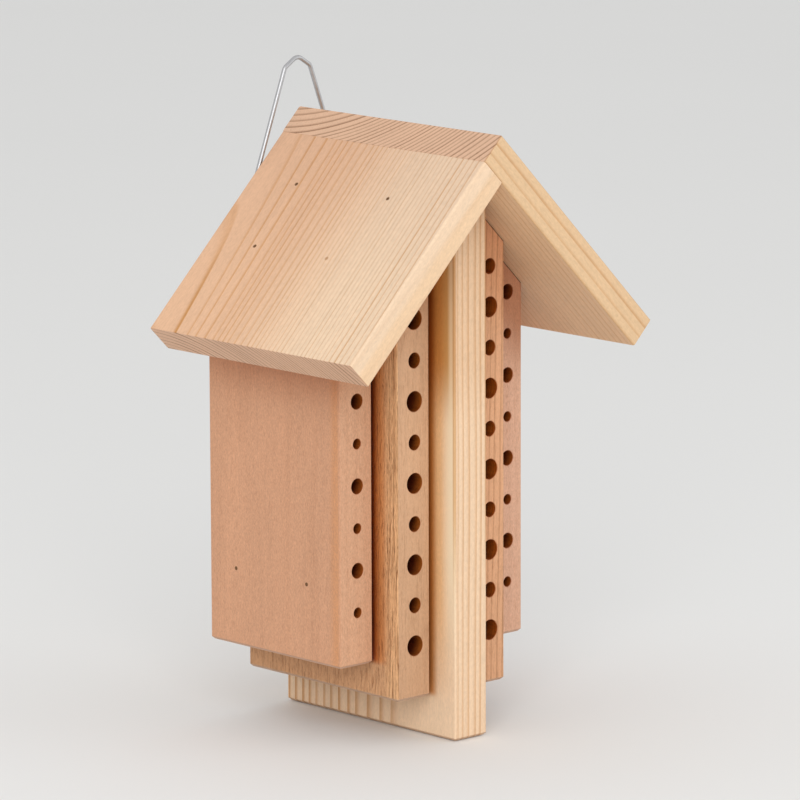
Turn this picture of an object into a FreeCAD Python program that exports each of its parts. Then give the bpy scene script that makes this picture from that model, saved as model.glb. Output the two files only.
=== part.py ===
import FreeCAD, Part
import math
import os
import Sketcher
from FreeCAD import Placement, Rotation, Vector

# A hanging bee hotel: five upright boards under a pitched roof, nailed together, on a wire hanger.
# X runs to the right, Y to the back and Z up. The origin is where a nail carries the wire: on the
# underside of the wire's crest, in the middle of the wire.
# The boards are drawn from the back end of the ridge line, their own zero.

SIZES = (
    ("roof_pitch", 45, "slope of both roof boards, in degrees"),
    ("roof_thickness", 13.2, "thickness of the roof boards"),
    ("roof_depth", 116, "front to back along the ridge"),
    ("roof_left_length", 99.6, "left roof board, from its butt joint to the eave"),
    ("roof_right_length", 115.6, "right roof board, from the ridge to the eave"),
    ("roof_arris", 0.9, "rounding of the roof boards' edges down the slope"),
    ("roof_end_arris", 0.3, "rounding of the roof boards' sawn ends"),
    ("body_height", 241, "ridge to the foot of the centre board"),
    ("inner_step", 17.2, "foot of the inner blocks above the foot of the centre board"),
    ("outer_step", 14.6, "foot of the outer blocks above the feet of the inner ones"),
    ("centre_thickness", 17, "centre board, side to side"),
    ("inner_thickness", 17, "inner block, side to side"),
    ("outer_thickness", 17, "outer block, side to side"),
    ("slit", 3.3, "open slit between two upright boards"),
    ("centre_depth", 98, "centre board, front to back"),
    ("inner_depth", 87, "inner block, front to back"),
    ("outer_depth", 76, "outer block, front to back"),
    ("foot_chamfer", 1.1, "bevel around the foot of each upright board"),
    ("upright_arris", 0.5, "rounding of the upright boards' other edges"),
    ("large_hole", 8, "diameter of the large nest holes"),
    ("middle_hole", 6, "diameter of the middle nest holes"),
    ("small_hole", 4, "diameter of the small nest holes"),
    ("hole_end_wall", 11, "wood left behind the blind end of a nest hole"),
    ("mouth_chamfer", 0.3, "bevel around the mouth of a nest hole"),
    ("hole_offset", 0.9, "columns of nest holes to the right of the middle of their blocks"),
    ("inner_top_margin", 17.7, "roof's underside to the first nest hole, inner blocks"),
    ("outer_top_margin", 11.3, "roof's underside to the first nest hole, outer blocks"),
    ("foot_margin", 21.3, "last nest hole to the foot of its block"),
    ("brad_shank", 1.2, "diameter of a brad"),
    ("brad_head", 1.6, "diameter of a brad's head"),
    ("brad_head_height", 0.8, "height of a brad's head"),
    ("brad_point", 2, "length of a brad's point"),
    ("roof_brad_length", 30, "brads that hold the roof"),
    ("side_brad_bite", 4.4, "brads through the blocks, into the centre board"),
    ("inner_brad_inset", 4.7, "roof brad into an inner block's top, from the block's near side"),
    ("outer_brad_inset", 6.5, "roof brad into an outer block's top, from the block's near side"),
    ("roof_brad_front", 8, "front roof brads behind the front of their block"),
    ("roof_brad_back", 26.5, "rear roof brads in front of the back"),
    ("side_brad_front", 19.4, "front side brads behind the front of the outer block"),
    ("side_brad_back", 15.2, "rear side brads in front of the back"),
    ("wire", 1.8, "diameter of the hanger wire"),
    ("wire_clearance", 0.2, "hanger wire behind the backs of the boards"),
    ("crest_height", 18.4, "underside of the wire's crest above the ridge"),
    ("crest_bend", 4, "bend of the wire's crest, at its middle line"),
    ("shoulder_width", 13.4, "between the hanger's two shoulders"),
    ("shoulder_drop", 4.3, "shoulders below the corner of the crest"),
    ("shoulder_bend", 2.6, "bend of the hanger's shoulders, at its middle line"),
    ("foot_bend", 2.2, "bend of the hanger's feet, at its middle line"),
    ("foot_reach", 42.6, "hanger's feet down the roof slope from the ridge"),
    ("foot_depth", 20, "hanger's feet into the back edge of the roof boards"),
)
# Rows of nest holes in one block
INNER_ROWS = 10
OUTER_ROWS = 8

doc = FreeCAD.newDocument("bee_hotel")
sheet = doc.addObject("Spreadsheet::Sheet", "sizes")
for row, (alias, value, meaning) in enumerate(SIZES, start=1):
    sheet.set(f"A{row}", alias)
    sheet.set(f"B{row}", str(value))
    sheet.set(f"C{row}", meaning)
    sheet.setAlias(f"B{row}", alias)
doc.recompute()

# Places that several pieces share, as expressions of the sizes
RUN = "cos(sizes.roof_pitch)"
FALL = "sin(sizes.roof_pitch)"
GRADE = "tan(sizes.roof_pitch)"
UNDERSIDE = f"sizes.roof_thickness / {RUN}"
BACK = "(sizes.wire / 2 + sizes.wire_clearance)"
CENTRE_SIDE = "(sizes.centre_thickness / 2)"
INNER_NEAR = f"({CENTRE_SIDE} + sizes.slit)"
INNER_FAR = f"({INNER_NEAR} + sizes.inner_thickness)"
OUTER_NEAR = f"({INNER_FAR} + sizes.slit)"
OUTER_FAR = f"({OUTER_NEAR} + sizes.outer_thickness)"
INNER_MIDDLE = f"({INNER_NEAR} + sizes.inner_thickness / 2)"
OUTER_MIDDLE = f"({OUTER_NEAR} + sizes.outer_thickness / 2)"
SIDE_BRAD_LENGTH = f"({OUTER_FAR} - {CENTRE_SIDE} + sizes.side_brad_bite)"
INNER_FOOT = "(sizes.body_height - sizes.inner_step)"
OUTER_FOOT = f"({INNER_FOOT} - sizes.outer_step)"
INNER_FIRST = f"({INNER_MIDDLE} * {GRADE} + {UNDERSIDE} + sizes.inner_top_margin)"
INNER_PITCH = f"(({INNER_FOOT} - sizes.foot_margin - {INNER_FIRST}) / {INNER_ROWS - 1})"
OUTER_FIRST = f"({OUTER_MIDDLE} * {GRADE} + {UNDERSIDE} + sizes.outer_top_margin)"
OUTER_PITCH = f"(({OUTER_FOOT} - sizes.foot_margin - {OUTER_FIRST}) / {OUTER_ROWS - 1})"
SIDES = (("left", -1), ("right", 1))


def amount(expression):
    """The number that an expression of the sizes comes to."""
    return float(sheet.evalExpression(expression))


def under_roof(x):
    """Height of the roof's underside at a distance x from the middle."""
    return f"-({x} * {GRADE} + {UNDERSIDE})"


def row_height(first, pitch, row):
    """Height of a row of nest holes, counted from the top of its block."""
    return f"-({first} + {row} * {pitch})"


def new_body(name):
    """A body whose own zero is the back end of the ridge line."""
    body = doc.addObject("PartDesign::Body", name)
    body.setExpression("Placement.Base.y", f"-{BACK}")
    body.setExpression("Placement.Base.z", "-sizes.crest_height")
    return body


def new_sketch(body, name, forward="0"):
    """A sketch on the body's upright cross plane, moved forward by an expression."""
    planes = body.Origin.OriginFeatures
    sketch = body.newObject("Sketcher::SketchObject", name)
    sketch.AttachmentSupport = [(next(p for p in planes if p.Role == "XZ_Plane"), "")]
    sketch.MapMode = "FlatFace"
    sketch.setExpression("AttachmentOffset.Base.z", forward)
    return sketch


def fix_point(sketch, geometry, point, across, up):
    """Hold a point of the sketch at two expressions, measured from its zero."""
    for kind, place in (("DistanceX", across), ("DistanceY", up)):
        rule = Sketcher.Constraint(kind, -1, 1, geometry, point, amount(place))
        sketch.setExpression(f"Constraints[{sketch.addConstraint(rule)}]", place)


def draw_outline(sketch, corners):
    """A closed outline of straight lines through corners given as pairs of expressions."""
    places = [Vector(amount(across), amount(up), 0) for across, up in corners]
    for index, place in enumerate(places):
        end = places[(index + 1) % len(places)]
        sketch.addGeometry(Part.LineSegment(place, end))
    for index, (across, up) in enumerate(corners):
        following = (index + 1) % len(corners)
        sketch.addConstraint(Sketcher.Constraint("Coincident", index, 2, following, 1))
        fix_point(sketch, index, 1, across, up)


def add_pad(body, sketch, length):
    """Extrude a sketch forward."""
    pad = body.newObject("PartDesign::Pad", f"{body.Name}_pad")
    pad.Profile = sketch
    pad.setExpression("Length", length)
    doc.recompute()
    return pad


def edge_names(shape, wanted):
    """Names of the edges of a shape for which wanted(edge) holds."""
    return [f"Edge{i}" for i, edge in enumerate(shape.Edges, start=1) if wanted(edge)]


def add_dressing(body, kind, name, base, wanted, size_property, size):
    """Round or bevel the edges of the last feature that wanted picks."""
    dressing = body.newObject(f"PartDesign::{kind}", name)
    dressing.Base = (base, edge_names(base.Shape, wanted))
    dressing.setExpression(size_property, size)
    doc.recompute()
    return dressing


def roof_board(name, side, corners, free_ends):
    """A roof board: its end outline, carried along the ridge, rounded down the slope and at its free ends."""
    body = new_body(f"{name}_blank")
    sketch = new_sketch(body, f"{name}_end")
    draw_outline(sketch, corners)
    pad = add_pad(body, sketch, "sizes.roof_depth")
    down = Vector(side * amount(RUN), 0, -amount(FALL))
    ends = [Vector(amount(across), 0, amount(up)).dot(down) for across, up in free_ends]

    def down_slope(edge):
        start, end = (vertex.Point for vertex in edge.Vertexes)
        return abs(abs((end - start).dot(down)) - edge.Length) < 0.01

    def at_free_end(edge):
        reach = [vertex.Point.dot(down) for vertex in edge.Vertexes]
        return any(all(abs(place - end) < 0.01 for place in reach) for end in ends)

    eased = add_dressing(body, "Fillet", f"{name}_arris", pad, down_slope, "Radius", "sizes.roof_arris")
    add_dressing(body, "Fillet", f"{name}_ends", eased, at_free_end, "Radius", "sizes.roof_end_arris")
    return body


def roof_corners(side, top_end, length):
    """Corners of a roof board: its two ridge corners, then its two eave corners."""
    (top_x, top_z), (low_x, low_z) = top_end
    eave_x = f"({top_x} + {side} * {length} * {RUN})"
    eave_z = f"({top_z} - {length} * {FALL})"
    return (
        (low_x, low_z),
        (top_x, top_z),
        (eave_x, eave_z),
        (f"{eave_x} - {side} * sizes.roof_thickness * {FALL}", f"{eave_z} - sizes.roof_thickness * {RUN}"),
    )


def upright(name, corners, depth, foot):
    """An upright board: its outline from the front, carried forward, with its foot bevelled."""
    body = new_body(f"{name}_blank")
    sketch = new_sketch(body, f"{name}_outline")
    draw_outline(sketch, corners)
    pad = add_pad(body, sketch, depth)
    foot_height = -amount(foot)

    def at_foot(edge):
        return all(abs(v.Z - foot_height) < 0.01 for v in edge.Vertexes)

    foot_bevel = add_dressing(body, "Chamfer", f"{name}_foot", pad, at_foot, "Size", "sizes.foot_chamfer")
    bevel_top = foot_height + amount("sizes.foot_chamfer")

    def above_bevel(edge):
        return max(v.Z for v in edge.Vertexes) > bevel_top + 0.01

    add_dressing(body, "Fillet", f"{name}_arris", foot_bevel, above_bevel, "Radius", "sizes.upright_arris")
    return body


def side_block(name, side, near, far, depth, foot):
    """A block beside the centre board, cut to the slope of the roof."""
    corners = (
        (f"{side} * {near}", f"-{foot}"),
        (f"{side} * {far}", f"-{foot}"),
        (f"{side} * {far}", under_roof(far)),
        (f"{side} * {near}", under_roof(near)),
    )
    return upright(name, corners, depth, foot)


def drill_rows(body, name, diameter, across, up, pitch, count, depth):
    """Blind nest holes in every second row down from a height, from the front of a block."""
    sketch = new_sketch(body, f"{name}_mouth", depth)
    centre = Vector(amount(across), amount(up), 0)
    sketch.addGeometry(Part.Circle(centre, Vector(0, 0, 1), amount(diameter) / 2))
    fix_point(sketch, 0, 3, across, up)
    rule = Sketcher.Constraint("Diameter", 0, amount(diameter))
    sketch.setExpression(f"Constraints[{sketch.addConstraint(rule)}]", diameter)
    hole = body.newObject("PartDesign::Pocket", f"{name}_hole")
    hole.Profile = sketch
    hole.setExpression("Length", f"{depth} - sizes.hole_end_wall")
    doc.recompute()
    rows = body.newObject("PartDesign::LinearPattern", f"{name}_rows")
    rows.Originals = [hole]
    rows.Direction = (sketch, ["V_Axis"])
    rows.Reversed = True
    rows.setExpression("Length", f"{2 * (count - 1)} * {pitch}")
    rows.Occurrences = count
    body.Tip = rows
    doc.recompute()
    return rows


def drill(body, name, kinds, across, lattice, depth):
    """Nest holes of two diameters in turn, with their mouths bevelled."""
    first, pitch, row_count = lattice
    for row, (kind, diameter) in enumerate(kinds):
        up = row_height(first, pitch, row)
        rows = drill_rows(body, f"{name}_{kind}", diameter, across, up, pitch, row_count // 2, depth)
    front = -amount(depth)

    def is_mouth(edge):
        box = edge.BoundBox
        return edge.isClosed() and box.YLength < 0.01 and abs(box.Center.y - front) < 0.01

    add_dressing(body, "Chamfer", f"{name}_mouths", rows, is_mouth, "Size", "sizes.mouth_chamfer")


def brad(name, length, across, back, up, tilt):
    """A headed brad turned about its own axis; it points down and then tilts about Y."""
    body = doc.addObject("PartDesign::Body", name)
    sketch = new_sketch(body, f"{name}_half")
    neck = "-sizes.brad_head_height"
    draw_outline(
        sketch,
        (
            ("0", "0"),
            ("sizes.brad_head / 2", "0"),
            ("sizes.brad_head / 2", neck),
            ("sizes.brad_shank / 2", neck),
            ("sizes.brad_shank / 2", f"sizes.brad_point - {length}"),
            ("0", f"-{length}"),
        ),
    )
    turned = body.newObject("PartDesign::Revolution", f"{name}_turned")
    turned.Profile = sketch
    turned.ReferenceAxis = (sketch, ["V_Axis"])
    turned.Angle = 360
    body.Placement = Placement(Vector(), Rotation(Vector(0, 1, 0), 1))
    body.setExpression("Placement.Base.x", across)
    body.setExpression("Placement.Base.y", f"{back} - {BACK}")
    body.setExpression("Placement.Base.z", f"{up} - sizes.crest_height")
    body.setExpression("Placement.Rotation.Angle", tilt)
    return body


def brad_group(name, brads):
    """Brads of one kind as one piece of separate solids."""
    group = doc.addObject("Part::Compound", name)
    group.Links = brads
    return group


def roof_brads(side_name, side):
    """Four brads square to a roof board: two into the inner block, two into the outer one."""
    kinds = (
        ("inner", f"({INNER_NEAR} + sizes.inner_brad_inset)", "sizes.inner_depth"),
        ("outer", f"({OUTER_NEAR} + sizes.outer_brad_inset)", "sizes.outer_depth"),
    )
    brads = []
    for block, entry, depth in kinds:
        across = f"{side} * ({entry} + sizes.roof_thickness * {FALL})"
        up = f"{under_roof(entry)} + sizes.roof_thickness * {RUN}"
        for end, back in (("front", f"sizes.roof_brad_front - {depth}"), ("rear", "-sizes.roof_brad_back")):
            name = f"roof_brad_{side_name}_{block}_{end}"
            tilt = f"{side} * sizes.roof_pitch"
            brads.append(brad(name, "sizes.roof_brad_length", across, back, up, tilt))
    return brad_group(f"roof_brads_{side_name}", brads)


def side_brads(side_name, side):
    """Two long brads through both blocks into the centre board, half-way between two rows of the inner."""
    places = (("front", "sizes.side_brad_front - sizes.outer_depth"), ("rear", "-sizes.side_brad_back"))
    brads = []
    for end, back in places:
        name = f"side_brad_{side_name}_{end}"
        up = row_height(INNER_FIRST, INNER_PITCH, INNER_ROWS - 2.5)
        across = f"{side} * {OUTER_FAR}"
        brads.append(brad(name, SIDE_BRAD_LENGTH, across, back, up, f"{side} * 90"))
    return brad_group(f"side_brads_{side_name}", brads)


def rounded_path(points, bends):
    """A path of straight runs through points, with a tangent arc of its own bend at each inner point."""
    edges = []
    start = points[0]
    for before, corner, after, bend in zip(points, points[1:], points[2:], bends):
        inward = (before - corner).normalize()
        outward = (after - corner).normalize()
        half_angle = inward.getAngle(outward) / 2
        reach = bend / math.tan(half_angle)
        to_middle = (inward + outward).normalize() * (bend / math.sin(half_angle) - bend)
        entry = corner + inward * reach
        leave = corner + outward * reach
        edges.append(Part.LineSegment(start, entry).toShape())
        edges.append(Part.Arc(entry, corner + to_middle, leave).toShape())
        start = leave
    edges.append(Part.LineSegment(start, points[-1]).toShape())
    return Part.Wire(edges)


def hanger():
    """The bent wire: two feet in the roof boards' back edges, two legs, two shoulders and a crest."""
    half_turn = math.atan2(amount("sizes.shoulder_drop"), amount("sizes.shoulder_width / 2"))
    crest_corner = amount("sizes.wire / 2") + amount("sizes.crest_bend") * (1 / math.cos(half_turn) - 1)
    foot_x = amount(f"sizes.foot_reach * {RUN} - sizes.roof_thickness / 2 * {FALL}")
    foot_z = amount(f"-sizes.crest_height - sizes.foot_reach * {FALL} - sizes.roof_thickness / 2 * {RUN}")
    tip_y = -amount(f"{BACK} + sizes.foot_depth")
    shoulder_x = amount("sizes.shoulder_width / 2")
    shoulder_z = crest_corner - amount("sizes.shoulder_drop")
    right = [
        Vector(shoulder_x, 0, shoulder_z),
        Vector(foot_x, 0, foot_z),
        Vector(foot_x, tip_y, foot_z),
    ]
    left = [Vector(-place.x, place.y, place.z) for place in reversed(right)]
    bends = [amount(f"sizes.{name}_bend") for name in ("foot", "shoulder", "crest", "shoulder", "foot")]
    path = doc.addObject("Part::Feature", "hanger_path")
    path.Shape = rounded_path(left + [Vector(0, 0, crest_corner)] + right, bends)
    section = doc.addObject("Part::Circle", "hanger_section")
    section.setExpression("Radius", "sizes.wire / 2")
    section.Placement = Placement(left[0], Rotation(Vector(0, 0, 1), Vector(0, 1, 0)))
    wire = doc.addObject("Part::Sweep", "hanger_wire")
    wire.Sections = [section]
    wire.Spine = (path, [f"Edge{i}" for i in range(1, len(path.Shape.Edges) + 1)])
    wire.Solid = True
    doc.recompute()
    expected = math.pi * amount("sizes.wire / 2") ** 2 * path.Shape.Length
    print(f"hanger wire: volume {wire.Shape.Volume:.2f}, section times length {expected:.2f}")
    return wire


def fitted(name, blank, fixings):
    """A board with a seat of its own size cut for each fixing that goes into it."""
    bundle = doc.addObject("Part::Compound", f"{name}_fixings")
    bundle.Links = fixings
    board = doc.addObject("Part::Cut", name)
    board.Base = blank
    board.Tool = bundle
    return board


# The right roof board runs to the ridge; the left one butts square against its underside
ridge = (
    ("0", "0"),
    (f"-sizes.roof_thickness * {FALL}", f"-sizes.roof_thickness * {RUN}"),
)
butt = (
    (f"-sizes.roof_thickness / (2 * {FALL})", f"-sizes.roof_thickness / (2 * {RUN})"),
    ("0", f"-{UNDERSIDE}"),
)
left_corners = roof_corners(-1, butt, "sizes.roof_left_length")
right_corners = roof_corners(1, ridge, "sizes.roof_right_length")
roof_blanks = {
    "left": roof_board("roof_board_left", -1, left_corners, left_corners[2:3]),
    "right": roof_board("roof_board_right", 1, right_corners, right_corners[1:3]),
}
centre_blank = upright(
    "centre_board",
    (
        (f"-{CENTRE_SIDE}", "-sizes.body_height"),
        (CENTRE_SIDE, "-sizes.body_height"),
        (CENTRE_SIDE, under_roof(CENTRE_SIDE)),
        ("0", f"-{UNDERSIDE}"),
        (f"-{CENTRE_SIDE}", under_roof(CENTRE_SIDE)),
    ),
    "sizes.centre_depth",
    "sizes.body_height",
)

wire = hanger()
nodes = [wire]
centre_fixings = []
for side_name, side in SIDES:
    roof_set = roof_brads(side_name, side)
    side_set = side_brads(side_name, side)
    centre_fixings += [roof_set, side_set]

    inner_name = f"inner_block_{side_name}"
    inner = side_block(inner_name, side, INNER_NEAR, INNER_FAR, "sizes.inner_depth", INNER_FOOT)
    inner_holes = (("middle", "sizes.middle_hole"), ("large", "sizes.large_hole"))
    inner_lattice = (INNER_FIRST, INNER_PITCH, INNER_ROWS)
    inner_column = f"{side} * {INNER_MIDDLE} + sizes.hole_offset"
    drill(inner, inner_name, inner_holes, inner_column, inner_lattice, "sizes.inner_depth")

    outer_name = f"outer_block_{side_name}"
    outer = side_block(outer_name, side, OUTER_NEAR, OUTER_FAR, "sizes.outer_depth", OUTER_FOOT)
    outer_holes = (("middle", "sizes.middle_hole"), ("small", "sizes.small_hole"))
    outer_lattice = (OUTER_FIRST, OUTER_PITCH, OUTER_ROWS)
    outer_column = f"{side} * {OUTER_MIDDLE} + sizes.hole_offset"
    drill(outer, outer_name, outer_holes, outer_column, outer_lattice, "sizes.outer_depth")

    nodes += [
        fitted(f"roof_board_{side_name}", roof_blanks[side_name], [roof_set, wire]),
        fitted(inner_name, inner, [roof_set, side_set]),
        fitted(outer_name, outer, [roof_set, side_set]),
        roof_set,
        side_set,
    ]
nodes.append(fitted("centre_board", centre_blank, centre_fixings))
doc.recompute()

for item in doc.Objects:
    if "Invalid" in item.State or "Error" in item.State:
        raise RuntimeError(f"{item.Label} failed: {item.State}")
os.makedirs("parts", exist_ok=True)
for node in nodes:
    shape = node.Shape
    if shape.isNull() or not shape.isValid():
        raise RuntimeError(f"{node.Label} has no valid shape")
    shape.exportStep(f"parts/{node.Label}.step")
    print(f"{node.Label}: {len(shape.Solids)} solid(s), volume {shape.Volume:.1f} mm3")
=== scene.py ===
import math

import bmesh
import bpy
from mathutils import Matrix, Vector


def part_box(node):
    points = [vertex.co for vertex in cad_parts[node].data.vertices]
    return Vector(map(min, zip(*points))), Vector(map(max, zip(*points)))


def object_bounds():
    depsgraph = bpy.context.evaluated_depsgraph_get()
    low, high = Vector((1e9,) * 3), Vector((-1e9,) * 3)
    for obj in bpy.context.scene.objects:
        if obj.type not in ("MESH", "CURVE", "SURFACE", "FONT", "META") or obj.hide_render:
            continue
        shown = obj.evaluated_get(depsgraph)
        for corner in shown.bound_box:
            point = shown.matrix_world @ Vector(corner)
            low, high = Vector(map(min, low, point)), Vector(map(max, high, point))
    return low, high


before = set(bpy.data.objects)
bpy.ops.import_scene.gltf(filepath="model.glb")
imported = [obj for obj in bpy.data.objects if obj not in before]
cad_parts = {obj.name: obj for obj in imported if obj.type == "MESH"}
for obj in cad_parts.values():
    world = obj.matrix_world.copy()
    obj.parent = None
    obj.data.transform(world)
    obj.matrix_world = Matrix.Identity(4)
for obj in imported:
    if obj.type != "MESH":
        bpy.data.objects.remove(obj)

bl_info = {
    "name": "Bee hotel looks",
    "version": (1, 0, 0),
    "blender": (4, 5, 0),
    "location": "3D View > Sidebar > Bee hotel",
    "description": "Bare timber boards, drilled nest holes, brads and a galvanised hanger",
    "category": "Object",
}

MM = 0.001
CAD_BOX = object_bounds()
FOOT = CAD_BOX[0].z


# Shader maths

class Signal:
    """A socket of a finish; Python operators on it add Math nodes."""

    def __init__(self, finish, socket):
        self.finish = finish
        self.socket = socket

    def math(self, operation, *values):
        inputs = dict(enumerate((self, *values)))
        return self.finish.node("ShaderNodeMath", {"operation": operation}, inputs)

    def __add__(self, other):
        return self.math("ADD", other)

    def __mul__(self, other):
        return self.math("MULTIPLY", other)

    def __sub__(self, other):
        return self.math("SUBTRACT", other)

    def __rsub__(self, other):
        inputs = {0: other, 1: self}
        return self.finish.node("ShaderNodeMath", {"operation": "SUBTRACT"}, inputs)

    def __gt__(self, other):
        return self.math("GREATER_THAN", other)

    def __lt__(self, other):
        return self.math("LESS_THAN", other)

    __radd__ = __add__
    __rmul__ = __mul__

    def fraction(self):
        return self.math("FRACT")

    def whole(self):
        return self.math("FLOOR")

    def size(self):
        return self.math("ABSOLUTE")

    def highest(self, other):
        return self.math("MAXIMUM", other)

    def power(self, exponent):
        return self.math("POWER", exponent)

    def step(self, low, high):
        """0 below low, 1 above high and a smooth rise between."""
        inputs = {"Value": self, "From Min": low, "From Max": high}
        return self.finish.node("ShaderNodeMapRange", {"interpolation_type": "SMOOTHSTEP"}, inputs)

    def band(self, rise, fall):
        """1 between two smooth steps, each given by its low and high end."""
        return self.step(*rise) * (1 - self.step(*fall))


class Finish:
    """A material under construction."""

    def __init__(self, name):
        self.material = bpy.data.materials.new(name)
        self.material.use_nodes = True
        self.tree = self.material.node_tree
        self.tree.nodes.clear()

    def node(self, kind, settings=None, inputs=None, output=0):
        made = self.tree.nodes.new(kind)
        for name, value in (settings or {}).items():
            setattr(made, name, value)
        for key, value in (inputs or {}).items():
            if isinstance(value, Signal):
                self.tree.links.new(value.socket, made.inputs[key])
            else:
                made.inputs[key].default_value = value
        return Signal(self, made.outputs[output]) if made.outputs else None

    def place(self, scale, turn=(0, 0, 0), shift=(0, 0, 0)):
        """The piece's own coordinates, scaled, turned and shifted."""
        own = self.node("ShaderNodeTexCoord", output="Object")
        inputs = {"Vector": own, "Rotation": turn, "Location": shift, "Scale": (scale,) * 3}
        return self.node("ShaderNodeMapping", {"vector_type": "POINT"}, inputs)

    def stretch(self, vector, factors):
        settings = {"operation": "MULTIPLY"}
        return self.node("ShaderNodeVectorMath", settings, {0: vector, 1: factors})

    def length(self, vector):
        return self.node("ShaderNodeVectorMath", {"operation": "LENGTH"}, {0: vector}, "Value")

    def axis(self, vector, name):
        return self.node("ShaderNodeSeparateXYZ", inputs={"Vector": vector}, output=name)

    def noise(self, vector, detail=2.0, roughness=0.5):
        inputs = {"Vector": vector, "Scale": 1.0, "Detail": detail, "Roughness": roughness}
        return self.node("ShaderNodeTexNoise", inputs=inputs, output="Fac")

    def line_noise(self, value):
        settings = {"noise_dimensions": "1D"}
        inputs = {"W": value, "Scale": 1.0, "Detail": 1.0}
        return self.node("ShaderNodeTexNoise", settings, inputs, "Fac")

    def chance(self, value):
        settings = {"noise_dimensions": "1D"}
        return self.node("ShaderNodeTexWhiteNoise", settings, {"W": value}, "Value")

    def mix(self, share, first, second, blend="MIX"):
        settings = {"data_type": "RGBA", "blend_type": blend}
        inputs = {0: share, 6: four(first), 7: four(second)}
        return self.node("ShaderNodeMix", settings, inputs, 2)

    def tint(self, amount, body, tone):
        """The body's colour multiplied by a tone where amount is 1."""
        return self.mix(amount, body, tone, "MULTIPLY")

    def shade(self, body, factor):
        """A colour made darker or lighter by a number."""
        grey = self.node("ShaderNodeCombineColor", inputs={0: factor, 1: factor, 2: factor})
        return self.tint(1.0, body, grey)

    def surface(self, inputs, height=None, depth=0.0):
        """Closes the finish with one shader; height times depth, in metres, is its relief."""
        inputs = dict(inputs)
        if height is not None:
            bump = {"Height": height, "Strength": 1.0, "Distance": depth}
            inputs["Normal"] = self.node("ShaderNodeBump", inputs=bump)
        shader = self.node("ShaderNodeBsdfPrincipled", inputs=inputs)
        self.node("ShaderNodeOutputMaterial", inputs={"Surface": shader})
        return self.material


def four(colour):
    """A colour's socket value, with its alpha."""
    return colour if isinstance(colour, Signal) else (*colour, 1.0)


# Settings

def colour(name, description, default):
    return bpy.props.FloatVectorProperty(
        name=name, description=description, subtype="COLOR", size=3, min=0, max=1, default=default
    )


def length(name, description, default):
    return bpy.props.FloatProperty(
        name=name, description=description, unit="LENGTH", min=0, precision=5, default=default
    )


def share(name, description, default):
    return bpy.props.FloatProperty(
        name=name, description=description, subtype="FACTOR", min=0, max=1, default=default
    )


class BeeHotelRoofLook(bpy.types.PropertyGroup):
    """Spruce of the two roof boards"""

    front: colour("Early wood, front", "Pale part of each growth ring, near the front", (0.80, 0.592, 0.41))
    back: colour("Early wood, back", "Pale part of each growth ring, near the back", (0.735, 0.45, 0.278))
    # Painted shade: the left board darker towards the ridge
    ridge: colour("Ridge", "Tint of the left board towards the ridge", (0.91, 0.89, 0.90))
    # Painted shade on the lower half of the left front edge, so that the upper half reads as lit
    left_edge: colour("Left front edge", "Tint of the lower half of the left front edge", (0.97, 0.92, 0.84))
    right_edge: colour("Right front edge", "Tint of the right front edge", (0.88, 0.81, 0.68))
    late: colour("Late wood", "Dark line of each growth ring", (0.55, 0.255, 0.08))
    end: colour("End grain", "Sawn ends, between the rings", (0.68, 0.43, 0.285))
    end_late: colour("End grain rings", "Rings on the sawn ends", (0.24, 0.11, 0.05))
    # Painted shade on the right board's underside
    under: colour("Underside", "Tint of the right board's underside", (0.95, 0.89, 0.80))
    contrast: share("Ring contrast", "Strength of the ring lines", 0.75)


class BeeHotelCentreLook(bpy.types.PropertyGroup):
    """Pine of the centre board"""

    early: colour("Early wood", "Pale part of each growth ring", (0.795, 0.573, 0.383))
    late: colour("Late wood", "Dark line of each growth ring", (0.55, 0.265, 0.10))
    # Painted warm shade on the sides beside the inner blocks
    side: colour("Sides", "Tint of the two broad sides beside the slits", (1.0, 0.83, 0.60))
    # Painted light on the upper part of the strip
    pale: colour("Pale strip", "Strip of the sides next to the front", (0.89, 0.73, 0.505))
    arris: colour("Front arris", "Tint of the edges between front and sides", (0.76, 0.58, 0.42))
    # Painted shadow of the roof on the upper part beside the slits
    high: colour("Under the roof", "Tint of the upper part beside the slits", (0.66, 0.44, 0.21))
    end: colour("End grain", "Sawn ends, between the rings", (0.60, 0.385, 0.25))
    end_late: colour("End grain rings", "Rings on the sawn ends", (0.34, 0.17, 0.08))
    ring: length("Ring width", "Width of a growth ring", 3.1 * MM)
    contrast: share("Ring contrast", "Strength of the ring lines", 0.8)


class BeeHotelInnerLook(bpy.types.PropertyGroup):
    """Open-grained hardwood of the two inner blocks"""

    left: colour("Left block", "Wood of the left inner block", (0.62, 0.37, 0.218))
    right: colour("Right block", "Wood of the right inner block", (0.69, 0.368, 0.203))
    # Painted warm shade on the sides that the outer blocks cover
    side: colour("Sides", "Tint of the sides that the outer blocks cover", (1.0, 0.91, 0.79))
    corner: colour("Front corner", "Paler wood on the sides next to the front", (0.78, 0.49, 0.285))
    pores: colour("Pores", "Open grain and dark rings", (0.30, 0.13, 0.05))
    left_ring: length("Ring width, left", "Growth ring of the left block", 2.6 * MM)
    right_ring: length("Ring width, right", "Growth ring of the right block", 1.25 * MM)
    contrast: share("Grain contrast", "Strength of pores and rings", 0.6)


class BeeHotelOuterLook(bpy.types.PropertyGroup):
    """Beech of the two outer blocks"""

    left: colour("Left block", "Wood of the left outer block", (0.64, 0.358, 0.216))
    right: colour("Right block", "Wood of the right outer block", (0.65, 0.375, 0.25))
    # Painted shade on the outermost faces
    side: colour("Sides", "Tint of the outermost faces", (0.97, 0.91, 0.88))
    fleck: colour("Flecks", "Short dark ray flecks", (0.40, 0.17, 0.075))
    streak: colour("Streak", "Darker heart along one edge", (0.66, 0.31, 0.13))
    ring: length("Ring width", "Width of a growth ring", 4.5 * MM)
    contrast: share("Fleck contrast", "Strength of the flecks", 0.6)


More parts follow.
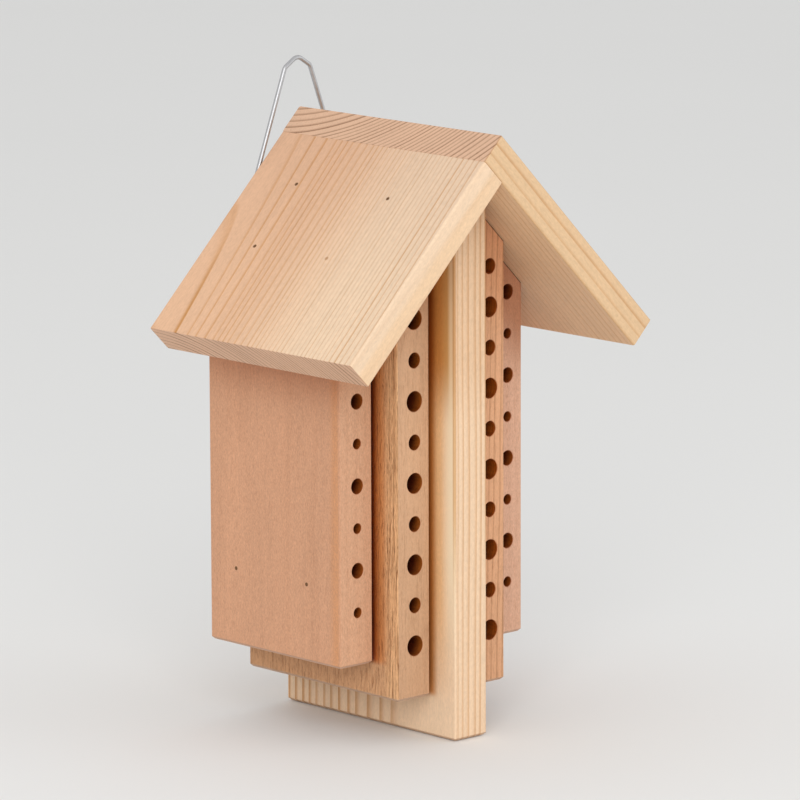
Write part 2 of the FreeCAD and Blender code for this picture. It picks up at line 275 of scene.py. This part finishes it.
class BeeHotelShadeLook(bpy.types.PropertyGroup):
    """Painted shade where light doesn't reach: the nest holes, the slits, under the roof and its seam; also
    the pale worn bevel at the feet
    """

    # Painted shade in the nest holes: lighter at the mouth, where light falls in, and nearly black further in
    mouth: colour("Hole mouths", "Tint of the walls of the nest holes at the mouth", (0.52, 0.235, 0.04))
    hole: colour("Nest holes", "Tint of the walls of the nest holes further in", (0.165, 0.038, 0.006))
    # Painted shade in the slits
    slit: colour("Slits", "Tint of the walls of the slits at the mouth", (0.70, 0.40, 0.16))
    deep: colour("Slits, inside", "Tint of the walls of the slits further in", (0.20, 0.035, 0.004))
    # Painted warm shade before the slits
    warm: colour("Beside the slits", "Tint of the inner blocks' sides before the slits", (1.0, 0.72, 0.46))
    # Painted shade under the roof
    eave: colour("Under the roof", "Tint just under the roof boards", (0.85, 0.68, 0.56))
    eave_right: colour("Under the roof, right", "The same on the right outer block", (0.68, 0.53, 0.43))
    worn: colour("Worn edge", "Pale bevel around the feet of the blocks", (0.62, 0.47, 0.36))
    # Painted shade in the joint between roof and blocks
    seam: colour("Seam", "Tint of the joint between roof and blocks", (0.16, 0.09, 0.05))
    under_roof: length("Roof underside", "Below the origin, in the middle of the object", 37.07 * MM)


class BeeHotelMetalLook(bpy.types.PropertyGroup):
    """Galvanised hanger wire and dulled brads"""

    zinc: colour("Zinc", "Hanger wire", (0.50, 0.50, 0.51))
    brad: colour("Brad", "Heads of the brads", (0.16, 0.08, 0.035))
    filled: colour("Filled brad", "The one brad that is filled over", (0.50, 0.28, 0.15))
    zinc_roughness: share("Zinc roughness", "How dull the wire is", 0.42)


class BeeHotelStageLook(bpy.types.PropertyGroup):
    """Floor, lights and camera"""

    floor: colour("Floor", "Plain pale floor", (0.80, 0.80, 0.79))
    sky: colour("Surround", "Soft light from all sides", (1.0, 1.0, 1.0))
    sky_strength: bpy.props.FloatProperty(
        name="Surround strength", description="Brightness of the surround", min=0, default=0.8
    )
    key_power: bpy.props.FloatProperty(
        name="Key power", description="Large soft light, front left", unit="POWER", min=0, default=21.0
    )
    fill_power: bpy.props.FloatProperty(
        name="Fill power", description="Large soft light, front right", unit="POWER", min=0, default=6.0
    )
    lens: bpy.props.FloatProperty(
        name="Lens",
        description="Focal length of the camera",
        subtype="DISTANCE_CAMERA",
        min=1,
        default=268.95,
    )


class BeeHotelLooks(bpy.types.PropertyGroup):
    """All looks of the bee hotel"""

    roof: bpy.props.PointerProperty(type=BeeHotelRoofLook)
    centre: bpy.props.PointerProperty(type=BeeHotelCentreLook)
    inner: bpy.props.PointerProperty(type=BeeHotelInnerLook)
    outer: bpy.props.PointerProperty(type=BeeHotelOuterLook)
    shade: bpy.props.PointerProperty(type=BeeHotelShadeLook)
    metal: bpy.props.PointerProperty(type=BeeHotelMetalLook)
    stage: bpy.props.PointerProperty(type=BeeHotelStageLook)


# Timber, with all places in millimetres

QUARTER = math.radians(90)
ROOF_SLOPE = QUARTER / 2
# How far the grain runs out of the boards, in radians
UPRIGHT_RUNOUT = 0.008
LEFT_ROOF_RUNOUT = 0.018

# The pith of each board from the origin: along the grain, towards the back and square to both
LEFT_ROOF_PITH = (-76, -3.4, -61)
RIGHT_ROOF_PITH = (0, 11, 67.6)
CENTRE_PITH = (0, -85, 69.4)
OUTER_PITHS = {"left": (0, -20, 160), "right": (0, -60, -150)}

# Radius about the pith and the ring width beyond it
LEFT_ROOF_RINGS = ((0, 2.4388), (53.2, 2.8), (58.8, 1.874), (64.4, 2.79), (72.8, 1.947), (109.8, 2.67))
RIGHT_ROOF_RINGS = ((0, 3.1), (98.0, 1.9324), (140.0, 2.5))

# Shape of a ring's dark line: the shares of the ring at its darkest and at its end, and its curve
LINE_PEAK = 0.93
LINE_END = (0.94, 1.0)
LINE_CURVE = 1.8
# How often the drift changes in each ring
DRIFT_PACE = 0.7

# A side counts from this far under it, and fully from this far
FACE_START = 0.6
FACE_FULL = 0.3
# How far a face looks along the grain to count as a sawn end
END_FACE = (0.55, 0.8)

# Nest holes lie this near the middle of their block, and this far from its back, foot and top
HOLE_REACH = 5.6
HOLE_BACK = 8
HOLE_FOOT = 4
HOLE_TOP = 4
# Behind the front: where a hole's wall starts and how deep light gets in
HOLE_MOUTH = (0.05, 0.3)
HOLE_LIT = 6

# Painted shade in the slits darkens from before the covering block's front, or just behind it on the block's
# own wall; a painted warm shade leads up to it
SLIT_LEAD = 2.0
OWN_WALL = -0.5
SLIT_FADE = 4.5
SLIT_DEEP = (1, 4)
SLIT_BACK = 6
SLIT_FOOT = (-2, 1)
SLIT_WARM = (-6, -1)

# Distances under the roof's underside, over which the painted shade under the eaves and in the seam fades
EAVE_FADE = (10, 32)
SEAM_FADE = (0.25, 0.6)

# How ragged the worn bevel at the feet is
RAGGED_FOOT = 0.8


def span(node):
    """Low and high corner of a CAD node, in millimetres."""
    low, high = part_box(node)
    return low / MM, high / MM


class Timber(Finish):
    """Wood in the round: grain along the board's first axis and growth rings about a pith beside it."""

    def __init__(self, name, tilt, pith, runout=0.0):
        super().__init__(name)
        own = self.place(1 / MM)
        across, self.y, self.z = (self.axis(own, letter) for letter in "XYZ")
        self.aside = across.size()
        self.turn = (0, tilt, runout)
        self.board = self.place(1 / MM, self.turn, [-value for value in pith])

    def facing(self):
        """The surface's own direction, in the board's axes."""
        direct = self.node("ShaderNodeTexCoord", output="Normal")
        inputs = {"Vector": direct, "Rotation": self.turn}
        return self.node("ShaderNodeMapping", {"vector_type": "VECTOR"}, inputs)

    def end_face(self):
        """1 on faces across the grain."""
        return self.axis(self.facing(), "X").size().step(*END_FACE)

    def far_side(self, block):
        """1 on the side of a block that faces away from the middle of the object."""
        far = max(abs(corner.x) for corner in block)
        return self.aside.step(far - FACE_START, far - FACE_FULL)

    def near_side(self, block):
        """1 on the side of a block that faces the middle of the object."""
        near = min(abs(corner.x) for corner in block)
        return 1 - self.aside.step(near + FACE_FULL, near + FACE_START)

    def inward(self, block, start, end):
        """0 up to start behind the front of a block and 1 from end on."""
        front = block[0].y
        return self.y.step(front + start, front + end)

    def upward(self, block, start, end):
        """0 up to start above the foot of a block and 1 from end on."""
        foot = block[0].z
        return self.z.step(foot + start, foot + end)

    def below_roof(self, shade):
        """Distance under the plane of the roof's underside."""
        return (self.aside + self.z + shade.under_roof / MM) * -math.sqrt(0.5)

    def patches(self, along, across):
        """Soft patches; the numbers are counts per millimetre."""
        return self.noise(self.stretch(self.board, (along, across, across)))

    def streaks(self, along, across):
        """Fibres, long along the grain; the numbers are counts per millimetre."""
        return self.noise(self.stretch(self.board, (along, across, across)), roughness=0.6)

    def grit(self, size):
        """Specks of a size in millimetres, a little longer along the grain."""
        return self.noise(self.stretch(self.board, (0.5 / size, 1 / size, 1 / size)), roughness=0.65)

    def rings(self, widths, wobble, drift=0.5, thin=0.4, taper=0.0):
        """(dark line of each ring, rings counted from the pith).

        widths pairs a radius with the ring width beyond it. wobble bends the rings by as many millimetres and
        drift by a share of a ring. The dark line starts at the share thin of each ring. taper adds to the
        radius along the grain.
        """
        radius = self.length(self.stretch(self.board, (0, 1, 1)))
        bend = self.patches(0.008, 0.03) - 0.5
        reach = radius + bend * (2 * wobble) + self.axis(self.board, "X") * taper
        count = reach * (1 / widths[0][1])
        for (_, before), (start, width) in zip(widths, widths[1:]):
            count = count + (reach - start).highest(0) * (1 / width - 1 / before)
        count = count + self.line_noise(count * DRIFT_PACE) * drift
        place = count.fraction()
        line = place.step(thin, LINE_PEAK).power(LINE_CURVE) * (1 - place.step(*LINE_END))
        return line, count

    def nest_holes(self, body, block, shade, lit=HOLE_LIT):
        """Painted shade in a block's nest holes: brown at the mouths and nearly black further in than lit."""
        low, high = block
        column = (self.aside - abs(low.x + high.x) / 2).size() < HOLE_REACH
        inside = column * (self.y < high.y - HOLE_BACK) * (self.z > low.z + HOLE_FOOT)
        wall = inside * (self.below_roof(shade) > HOLE_TOP) * self.inward(block, *HOLE_MOUTH)
        tone = self.mix(self.inward(block, 0, lit), shade.mouth, shade.hole)
        return self.tint(wall, body, tone)

    def slit(self, body, face, cover, shade, lead=SLIT_LEAD, darkness=1.0):
        """A face beside a slit: painted shade, darker from the covering block's front inwards."""
        back = cover[1].y
        inside = self.inward(cover, -lead, SLIT_FADE - lead) * (1 - self.y.step(back - SLIT_BACK, back))
        tone = self.mix(self.inward(cover, *SLIT_DEEP) * darkness, shade.slit, shade.deep)
        return self.tint(face * inside * self.upward(cover, *SLIT_FOOT), body, tone)

    def beside_slit(self, body, face, cover, shade):
        """A face before a slit: painted warm shade close to the covering block's front."""
        near = self.inward(cover, *SLIT_WARM) * self.upward(cover, *SLIT_FOOT)
        return self.tint(face * near, body, shade.warm)

    def worn_foot(self, body, block, grit, fade, amount, shade):
        """Paler at the ragged bevel around a block's foot."""
        rim = 1 - (self.z - block[0].z + grit * RAGGED_FOOT).step(*fade)
        return self.mix(rim * amount, body, shade.worn)

    def eaves(self, body, shade, tone, amount=1.0):
        """Painted shade, darker close under the roof."""
        return self.tint((1 - self.below_roof(shade).step(*EAVE_FADE)) * amount, body, tone)

    def seam(self, body, shade):
        """Painted shade, dark in the joint with the roof."""
        return self.tint(1 - self.below_roof(shade).step(*SEAM_FADE), body, shade.seam)

    def bare(self, body, rough, gloss, height, depth):
        """Closes the finish as bare wood, with a relief of a depth in millimetres."""
        inputs = {"Base Color": body, "Roughness": rough, "Specular IOR Level": gloss}
        return self.surface(inputs, height, depth * MM)


def softwood(wood, line, count, look, early, cut_contrast=0.6):
    """(colour, relief, roughness) of spruce or pine: pale early wood, dark late wood lines."""
    strength = wood.chance(count.whole()) * 0.6 + 0.5
    fibre = wood.streaks(0.02, 0.6)
    fine = wood.streaks(0.2, 1.9)
    grit = wood.grit(0.85)
    tone = wood.patches(0.006, 0.05)
    face = wood.mix(line * strength * look.contrast, early, look.late)
    cut = line.power(0.6) * strength * cut_contrast + grit.step(0.56, 0.75) * 0.35
    body = wood.mix(wood.end_face(), face, wood.mix(cut, look.end, look.end_late))
    body = wood.shade(body, fibre * 0.12 + fine * 0.14 + grit * 0.30 + tone * 0.14 + 0.65)
    height = fibre * 0.3 + fine * 0.4 + grit * 0.5 + line * 0.2
    return body, height, fine * 0.2 + 0.48


SOFTWOOD_GLOSS = 0.3
SOFTWOOD_RELIEF = 0.10


def dress(node, material):
    """Gives a CAD node one finish all over."""
    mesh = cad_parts[node].data
    mesh.materials.clear()
    mesh.materials.append(material)


class BeeHotelDressRoof(bpy.types.Operator):
    """Finish the two roof boards in spruce"""

    bl_idname = "bee_hotel.dress_roof"
    bl_label = "Roof boards"

    # Left board, from its pith towards the back: flat grain, a stretch of faint lines, and the widest rings
    flat_grain = (-45, -18)
    faint_lines = ((-104, -99), (-62, -55))
    widest_rings = (-15, -5)
    # Left board, from its pith along the grain and square to the board: where the painted shade towards the
    # ridge rises, and the upper half of the front edge, which its painted shade leaves out
    ridge_rise = (-40, 60)
    upper_half = (40.5, 43.5)
    # Both boards, from their front
    front_edge = (0.4, 1.2)
    back_colour = (22, 82)
    # The direction that counts as the underside
    downward = (-0.8, -0.5)

    def execute(self, context):
        look = context.scene.bee_hotel.roof
        dress("roof_board_left", self.left_board(look))
        dress("roof_board_right", self.right_board(look))
        return {"FINISHED"}

    def left_board(self, look):
        """Flat grain at the back, where the rings run level with the face, and upright grain at the front."""
        wood = Timber("roof_spruce_left", ROOF_SLOPE, LEFT_ROOF_PITH, LEFT_ROOF_RUNOUT)
        along, across, height = (wood.axis(wood.board, letter) for letter in "XYZ")
        flat = across.step(*self.flat_grain)
        line, count = wood.rings(LEFT_ROOF_RINGS, wobble=0.2, drift=0.15, thin=flat * 0.15 + 0.5, taper=0.040)
        edge = self.edge(wood)
        strength = flat * 0.45 + 0.97 - across.band(*self.faint_lines) * 0.29
        line = line * strength * (1 - edge * 0.85) * (1 - across.step(*self.widest_rings) * 0.65)
        # Painted shade on the lower half of the front edge
        lower_edge = edge * (1 - height.step(*self.upper_half))
        # Painted shade towards the ridge
        ridge = along.step(*self.ridge_rise) * (1 - edge)
        tints = ((lower_edge, look.left_edge), (ridge, look.ridge))
        return self.spruce(wood, line, count, look, 0.85, tints)

    def right_board(self, look):
        """Arched rings on the sawn ends, and faint lines on the underside."""
        wood = Timber("roof_spruce_right", -ROOF_SLOPE, RIGHT_ROOF_PITH)
        line, count = wood.rings(RIGHT_ROOF_RINGS, wobble=0.4, drift=0.15, thin=0.52)
        edge = self.edge(wood)
        # The underside: fainter ring lines and painted shade
        under = 1 - wood.axis(wood.facing(), "Z").step(*self.downward)
        line = line * (1 - under * 0.45) * (1 - edge * 0.3)
        tints = ((edge, look.right_edge), (under, look.under))
        return self.spruce(wood, line, count, look, 0.9, tints)

    def edge(self, wood):
        """1 on the front edge of the roof."""
        return 1 - wood.inward(span("roof_board_left"), *self.front_edge)

    def spruce(self, wood, line, count, look, cut_contrast, tints):
        """The finish of a board from its rings, with tints laid over it."""
        inner_part = wood.inward(span("roof_board_left"), *self.back_colour)
        early = wood.mix(inner_part, look.front, look.back)
        body, height, rough = softwood(wood, line, count, look, early, cut_contrast)
        for amount, tone in tints:
            body = wood.tint(amount, body, tone)
        return wood.bare(body, rough, SOFTWOOD_GLOSS, height, SOFTWOOD_RELIEF)


class BeeHotelDressCentre(bpy.types.Operator):
    """Finish the centre board in pine"""

    bl_idname = "bee_hotel.dress_centre"
    bl_label = "Centre board"

    # Behind the front: the rounded arris, the parts of the sides with the painted roof shadow and with the
    # painted warm shade, and their plain strip
    arris_depth = (0.5, 1.5)
    shaded_depth = (2.2, 4.2)
    warm_shade_depth = (1.5, 9)
    plain_depth = (10, 26)
    # Width of the arris on the front, counted from the sides
    arris_width = (1.0, 0.5)
    # Above the feet of the inner blocks: where the painted warm shade starts
    warm_shade_rise = (-8, 45)
    # Heights from the origin: where the painted light on the strip, the arris tint and the painted roof
    # shadow rise
    pale_rise = (-245, -180)
    arris_rise = (-215, -160)
    roof_shade = (-138, -106)

    def execute(self, context):
        looks = context.scene.bee_hotel
        look = looks.centre
        wood = Timber("centre_pine", QUARTER, CENTRE_PITH, UPRIGHT_RUNOUT)
        board = span("centre_board")
        inner = span("inner_block_left")
        line, count = wood.rings(((0, look.ring / MM),), wobble=1.2, thin=0.3)
        side = wood.far_side(board)
        inward = wood.inward(board, *self.warm_shade_depth)
        shaded = side * wood.inward(board, *self.shaded_depth)
        start, full = (board[1].x - depth for depth in self.arris_width)
        arris = wood.aside.step(start, full) * (1 - wood.inward(board, *self.arris_depth))
        warm_shade = side * inward * wood.upward(inner, *self.warm_shade_rise)
        plain = side * (1 - wood.inward(board, *self.plain_depth))
        line = line * (side * 0.4 + 1) * (1 - warm_shade * 0.75) * (1 - plain * 0.85)
        body, height, rough = softwood(wood, line, count, look, look.early)
        # Painted warm shade on the sides beside the inner blocks
        body = wood.tint(warm_shade, body, look.side)
        # Painted light on the front strip of the sides, upper part
        strip = side * (1 - inward) * wood.z.step(*self.pale_rise)
        body = wood.mix(strip * 0.9, body, look.pale)
        body = wood.tint(arris * wood.z.step(*self.arris_rise), body, look.arris)
        # Painted shadow of the roof over the upper part beside the slits
        gloom = shaded * 0.55 + side * 0.25 + 0.2
        body = wood.tint(wood.z.step(*self.roof_shade) * gloom, body, look.high)
        # Painted shade in the slit beside the inner block and in the joint with the roof
        body = wood.slit(body, side, inner, looks.shade, darkness=0.3)
        body = wood.seam(body, looks.shade)
        dress("centre_board", wood.bare(body, rough, SOFTWOOD_GLOSS, height, SOFTWOOD_RELIEF))
        return {"FINISHED"}


class BeeHotelDressInner(bpy.types.Operator):
    """Finish the two inner blocks in open-grained hardwood"""

    bl_idname = "bee_hotel.dress_inner"
    bl_label = "Inner blocks"

    # Each block's pith, the strength of its rings, of its pits and of the shade under the roof, and how deep
    # light gets into its nest holes
    grain = {
        "left": {"pith": (0, 60, 20), "rings": 0.25, "pits": 0.7, "eaves": 1.0, "lit": HOLE_LIT},
        "right": {"pith": (0, -190, -70), "rings": 0.75, "pits": 0.5, "eaves": 0.5, "lit": 14},
    }
    # Behind the front: the paler corner of the sides; above the foot: its worn bevel
    corner_depth = (4, 9)
    worn_height = (1.2, 1.9)

    def execute(self, context):
        looks = context.scene.bee_hotel
        look = looks.inner
        blocks = (("left", look.left, look.left_ring), ("right", look.right, look.right_ring))
        for side, base, ring_width in blocks:
            dress(f"inner_block_{side}", self.hardwood(looks, side, base, ring_width))
        return {"FINISHED"}

    def hardwood(self, looks, side, base, ring_width):
        """Dark rings, open pores and dashes, coarser on the sides than on the front."""
        look, shade, grain = looks.inner, looks.shade, self.grain[side]
        wood = Timber(f"inner_oak_{side}", QUARTER, grain["pith"], UPRIGHT_RUNOUT)
        block = span(f"inner_block_{side}")
        cover = span("outer_block_left")
        far_side = wood.far_side(block)
        line, _ = wood.rings(((0, ring_width / MM),), wobble=0.8, thin=0.5)
        pores = wood.streaks(0.16, 1.5).step(0.50, 0.72)
        dashes = wood.streaks(0.4, 2.2).step(0.52, 0.75)
        fibre = wood.streaks(0.02, 0.6)
        grit = wood.grit(0.6)
        tone = wood.patches(0.012, 0.07)
        corner = far_side * (1 - wood.inward(block, *self.corner_depth))
        coarse = wood.streaks(0.035, 0.9).step(0.47, 0.62) * corner
        pitted = far_side * grain["pits"] + 0.5
        marks = line * grain["rings"] + (pores * 0.7 + dashes * 0.5) * pitted + coarse * 0.7
        body = wood.mix(marks * look.contrast, wood.mix(corner, base, look.corner), look.pores)
        body = wood.tint(wood.end_face() * 0.4, body, look.pores)
        # Painted warm shade on the sides that the outer blocks cover
        body = wood.tint(far_side, body, look.side)
        body = wood.shade(body, fibre * 0.18 + grit * 0.34 + tone * 0.2 + 0.64)
        body = wood.worn_foot(body, block, grit, self.worn_height, 0.45, shade)
        # Painted shade before and in the slits, under the roof, in its seam and in the nest holes
        body = wood.beside_slit(body, far_side, cover, shade)
        body = wood.slit(body, far_side, cover, shade)
        body = wood.slit(body, wood.near_side(block), block, shade, OWN_WALL)
        body = wood.seam(wood.eaves(body, shade, shade.eave, grain["eaves"]), shade)
        body = wood.nest_holes(body, block, shade, grain["lit"])
        height = fibre * 0.5 + grit * 0.5 - (pores * 0.7 + dashes * 0.6 + coarse) * pitted
        return wood.bare(body, pores * 0.1 + 0.58, 0.22, height, 0.18)


class BeeHotelDressOuter(bpy.types.Operator):
    """Finish the two outer blocks in beech"""

    bl_idname = "bee_hotel.dress_outer"
    bl_label = "Outer blocks"

    # Behind the front: the darker heart along the outermost faces; above the foot: its worn bevel
    heart_depth = ((1.0, 2.5), (3.5, 7.5))
    worn_height = (1.1, 1.7)

    def execute(self, context):
        looks = context.scene.bee_hotel
        look, shade = looks.outer, looks.shade
        blocks = (("left", look.left, shade.eave), ("right", look.right, shade.eave_right))
        for side, base, eave in blocks:
            dress(f"outer_block_{side}", self.beech(looks, side, base, eave))
        return {"FINISHED"}

    def beech(self, looks, side, base, eave):
        """Faint rings, short flecks and fine grit."""
        look, shade = looks.outer, looks.shade
        wood = Timber(f"outer_beech_{side}", QUARTER, OUTER_PITHS[side], UPRIGHT_RUNOUT)
        block = span(f"outer_block_{side}")
        far_side = wood.far_side(block)
        line, _ = wood.rings(((0, look.ring / MM),), wobble=3.0)
        flecks = wood.streaks(0.4, 1.9).step(0.50, 0.72)
        pale = wood.streaks(0.3, 1.6).step(0.52, 0.76)
        fibre = wood.streaks(0.02, 0.5)
        grit = wood.grit(0.5)
        tone = wood.patches(0.01, 0.05)
        marks = (line * 0.12 + flecks * 0.45) * look.contrast
        body = wood.mix(marks, base, look.fleck)
        heart = far_side * (wood.y - block[0].y + fibre * 2).band(*self.heart_depth)
        body = wood.mix(heart * (grit * 0.9 + 0.05), body, look.streak)
        body = wood.tint(wood.end_face() * 0.3, body, look.fleck)
        # Painted shade on the outermost faces
        body = wood.tint(far_side, body, look.side)
        body = wood.shade(body, fibre * 0.14 + grit * 0.60 + tone * 0.18 + pale * 0.1 + 0.52)
        body = wood.worn_foot(body, block, grit, self.worn_height, 0.4, shade)
        # Painted shade in the slits, under the roof, in its seam and in the nest holes
        body = wood.slit(body, wood.near_side(block), block, shade, OWN_WALL)
        body = wood.seam(wood.eaves(body, shade, eave), shade)
        body = wood.nest_holes(body, block, shade)
        height = fibre * 0.3 + grit * 0.7 - flecks * 0.4
        return wood.bare(body, fibre * 0.1 + 0.52, 0.28, height, 0.10)


# Metal

class BeeHotelDressMetal(bpy.types.Operator):
    """Finish the hanger wire in zinc and the brads in dulled steel"""

    bl_idname = "bee_hotel.dress_metal"
    bl_label = "Hanger and brads"

    brads = ("roof_brads_left", "roof_brads_right", "side_brads_left", "side_brads_right")
    # The filled brad is the only one further left and further forward than this
    filled_left = -40
    filled_forward = -60

    def execute(self, context):
        look = context.scene.bee_hotel.metal
        dress("hanger_wire", self.zinc(look))
        steel = self.steel(look)
        for node in self.brads:
            dress(node, steel)
        return {"FINISHED"}

    def zinc(self, look):
        """Faintly spangled zinc."""
        zinc = Finish("galvanised_wire")
        spangle = zinc.noise(zinc.place(0.9 / MM), 3.0)
        inputs = {
            "Base Color": zinc.shade(look.zinc, spangle * 0.3 + 0.82),
            "Roughness": spangle * 0.2 + (look.zinc_roughness - 0.1),
            "Metallic": 1.0,
        }
        return zinc.surface(inputs, spangle, 0.03 * MM)

    def steel(self, look):
        """Dark, dulled heads, and a pale one where a brad is filled over."""
        steel = Finish("dulled_brad")
        own = steel.place(1 / MM)
        grime = steel.noise(steel.place(2.5 / MM))
        left, forward = steel.axis(own, "X") < self.filled_left, steel.axis(own, "Y") < self.filled_forward
        inputs = {
            "Base Color": steel.shade(steel.mix(left * forward, look.brad, look.filled), grime * 0.8 + 0.6),
            "Roughness": grime * 0.3 + 0.5,
            "Metallic": 0.1,
            "Specular IOR Level": 0.2,
        }
        return steel.surface(inputs, grime, 0.05 * MM)


# Stage, in metres and radians

FLOOR_SIZE = 20.0
FLOOR_GAP = 0.3 * MM
LIGHT_TARGET = Vector((0, -0.06, -0.13))
KEY_PLACE = Vector((-1.4, -1.5, 0.85))
KEY_WIDTH = 1.4
FILL_PLACE = Vector((1.5, -1.6, 0.5))
FILL_WIDTH = 1.6
CAMERA_PLACE = (-1.58054, -1.74867, 0.30770)
CAMERA_YAW = 0.752049
CAMERA_PITCH = 0.186782
CAMERA_ROLL = -0.003445
SENSOR_WIDTH = 36.0
FAR_CLIP = 100.0


class BeeHotelStage(bpy.types.Operator):
    """Set the floor, the lights and the camera"""

    bl_idname = "bee_hotel.stage"
    bl_label = "Stage"

    def execute(self, context):
        look = context.scene.bee_hotel.stage
        self.lay_floor(context.scene, look)
        self.light(context.scene, look)
        self.set_camera(context.scene, look)
        return {"FINISHED"}

    def lay_floor(self, scene, look):
        mesh = bpy.data.meshes.new("floor")
        shape = bmesh.new()
        level = Matrix.Translation((0, 0, FOOT - FLOOR_GAP))
        bmesh.ops.create_grid(shape, x_segments=1, y_segments=1, size=FLOOR_SIZE, matrix=level)
        shape.to_mesh(mesh)
        shape.free()
        floor = bpy.data.objects.new("floor", mesh)
        scene.collection.objects.link(floor)
        paint = Finish("pale_floor")
        body = paint.shade(look.floor, paint.noise(paint.place(3.0)) * 0.02 + 0.99)
        mesh.materials.append(paint.surface({"Base Color": body, "Roughness": 0.8}))

    def light(self, scene, look):
        world = bpy.data.worlds.new("surround")
        world.use_nodes = True
        sky = world.node_tree.nodes["Background"]
        sky.inputs["Color"].default_value = four(look.sky)
        sky.inputs["Strength"].default_value = look.sky_strength
        scene.world = world
        scene.view_settings.view_transform = "Standard"
        lamps = (
            ("key", KEY_PLACE, KEY_WIDTH, look.key_power),
            ("fill", FILL_PLACE, FILL_WIDTH, look.fill_power),
        )
        for name, spot, width, power in lamps:
            lamp = bpy.data.lights.new(name, "AREA")
            lamp.size = width
            lamp.energy = power
            holder = bpy.data.objects.new(name, lamp)
            holder.location = spot
            holder.rotation_euler = (LIGHT_TARGET - spot).to_track_quat("-Z", "Y").to_euler()
            scene.collection.objects.link(holder)

    def set_camera(self, scene, look):
        camera = bpy.data.cameras.new("camera")
        camera.lens = look.lens
        camera.sensor_width = SENSOR_WIDTH
        camera.clip_end = FAR_CLIP
        holder = bpy.data.objects.new("camera", camera)
        holder.location = CAMERA_PLACE
        level = math.cos(CAMERA_PITCH)
        ahead = Vector((math.sin(CAMERA_YAW) * level, math.cos(CAMERA_YAW) * level, -math.sin(CAMERA_PITCH)))
        aim = ahead.to_track_quat("-Z", "Y").to_matrix()
        holder.rotation_euler = (aim @ Matrix.Rotation(CAMERA_ROLL, 3, "Z")).to_euler()
        scene.collection.objects.link(holder)
        scene.camera = holder


class BeeHotelPanel(bpy.types.Panel):
    """Lists the pieces of the bee hotel"""

    bl_idname = "VIEW3D_PT_bee_hotel"
    bl_label = "Bee hotel"
    bl_space_type = "VIEW_3D"
    bl_region_type = "UI"
    bl_category = "Bee hotel"

    def draw(self, context):
        for operator in OPERATORS:
            self.layout.operator(operator.bl_idname)


OPERATORS = (
    BeeHotelDressRoof,
    BeeHotelDressCentre,
    BeeHotelDressInner,
    BeeHotelDressOuter,
    BeeHotelDressMetal,
    BeeHotelStage,
)
CLASSES = (
    BeeHotelRoofLook,
    BeeHotelCentreLook,
    BeeHotelInnerLook,
    BeeHotelOuterLook,
    BeeHotelShadeLook,
    BeeHotelMetalLook,
    BeeHotelStageLook,
    BeeHotelLooks,
    *OPERATORS,
    BeeHotelPanel,
)


def register():
    for item in CLASSES:
        bpy.utils.register_class(item)
    bpy.types.Scene.bee_hotel = bpy.props.PointerProperty(type=BeeHotelLooks)


def unregister():
    del bpy.types.Scene.bee_hotel
    for item in reversed(CLASSES):
        bpy.utils.unregister_class(item)


def main():
    register()
    bpy.ops.bee_hotel.dress_roof()
    bpy.ops.bee_hotel.dress_centre()
    bpy.ops.bee_hotel.dress_inner()
    bpy.ops.bee_hotel.dress_outer()
    bpy.ops.bee_hotel.dress_metal()
    bpy.ops.bee_hotel.stage()


if __name__ == "__main__":
    main()
